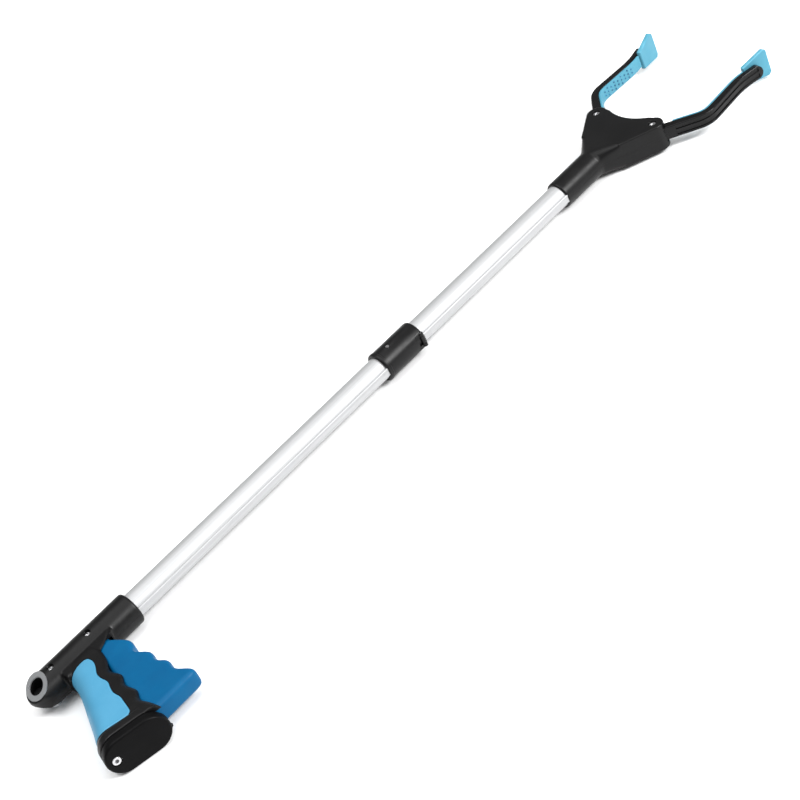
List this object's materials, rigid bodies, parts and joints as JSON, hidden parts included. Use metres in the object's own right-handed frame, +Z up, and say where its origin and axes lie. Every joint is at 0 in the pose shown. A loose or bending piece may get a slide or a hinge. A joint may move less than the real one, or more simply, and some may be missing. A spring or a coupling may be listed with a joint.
{
  "type": "folding reacher grabber",
  "caption": "Folding reacher grabber: pistol grip with squeeze trigger, two aluminium tubes joined at a fold collar, and a head with two hinged gripping jaws.",
  "frame": {"origin": "middle of the footprint, on the surface that the tool lies on", "axes": "+X along the tubes towards the jaws, -Y the way the pistol grip hangs, +Z up out of the side of the tool; every hinge turns about Z"},
  "size_m": [0.8226, 0.194, 0.03],
  "materials": {
    "black_plastic": "finely textured moulded plastic",
    "gloss_black": "smooth moulded plastic",
    "light_blue_grip": "soft overmoulded rubbery plastic",
    "deep_blue_plastic": "satin moulded plastic",
    "jaw_blue": "soft moulded rubber",
    "aluminium": "satin drawn and anodised",
    "steel": "plain zinc-plated steel",
    "grey_trim": "satin silver-grey",
    "cord": "braided pull cord"
  },
  "bodies": {
    "handle": {"handle_shell_left": "black_plastic", "handle_shell_right": "black_plastic", "grip_panel": "light_blue_grip", "eyelet_trim_left": "grey_trim", "eyelet_trim_right": "grey_trim", "base_cap": "black_plastic", "base_cap_screw": "steel", "trigger_pivot_screw": "steel", "handle_rear_screw": "steel", "fold_collar": "black_plastic", "tube_rear": "aluminium", "collar_rivet": "steel", "fold_pin": "steel"},
    "trigger": {"trigger": "deep_blue_plastic"},
    "rear_cord": {"pull_cord_rear": "cord"},
    "front": {"fold_plug": "black_plastic", "tube_front": "aluminium", "head_shell_left": "black_plastic", "head_shell_right": "black_plastic", "jaw_screw_upper": "steel", "jaw_screw_lower": "steel", "jaw_spring_upper": "steel", "jaw_spring_lower": "steel"},
    "yoke": {"yoke": "gloss_black", "pull_cord_front": "cord"},
    "jaw_upper": {"jaw_arm_upper": "gloss_black", "jaw_liner_upper": "jaw_blue", "jaw_paddle_upper": "jaw_blue"},
    "jaw_lower": {"jaw_arm_lower": "gloss_black", "jaw_liner_lower": "jaw_blue", "jaw_paddle_lower": "jaw_blue"}
  },
  "joints": [
    {"name": "trigger_squeeze", "type": "hinge", "parent": "handle", "child": "trigger", "pos_m": [-0.34262, 0.02319, 0.015], "axis": [0, 0, -1], "range_deg": [0, 17.5], "stiffness_Nm_per_rad": 0.5, "springref_deg": -8.59},
    {"name": "tube_fold", "type": "hinge", "parent": "handle", "child": "front", "pos_m": [0.01338, 0.01309, 0.015], "axis": [0, 0, -1], "range_deg": [0, 153]},
    {"name": "rear_cord_pull", "type": "slide", "parent": "handle", "child": "rear_cord", "axis": [-1, 0, 0], "range_m": [0, 0.00318]},
    {"name": "yoke_pull", "type": "slide", "parent": "front", "child": "yoke", "axis": [-1, 0, 0], "range_m": [0, 0.00318]},
    {"name": "jaw_upper_close", "type": "hinge", "parent": "front", "child": "jaw_upper", "pos_m": [0.29448, 0.05719, 0.015], "axis": [0, 0, -1], "range_deg": [0, 30.31]},
    {"name": "jaw_lower_close", "type": "hinge", "parent": "front", "child": "jaw_lower", "pos_m": [0.29448, -0.00761, 0.015], "axis": [0, 0, 1], "range_deg": [0, 30.31]}
  ],
  "couplings": [
    {"joint": "rear_cord_pull", "follows": "trigger_squeeze", "m_per_rad": 0.01036},
    {"joint": "yoke_pull", "follows": "trigger_squeeze", "m_per_rad": 0.01036},
    {"joint": "jaw_upper_close", "follows": "trigger_squeeze", "ratio": 1.7314},
    {"joint": "jaw_lower_close", "follows": "trigger_squeeze", "ratio": 1.7314}
  ]
}
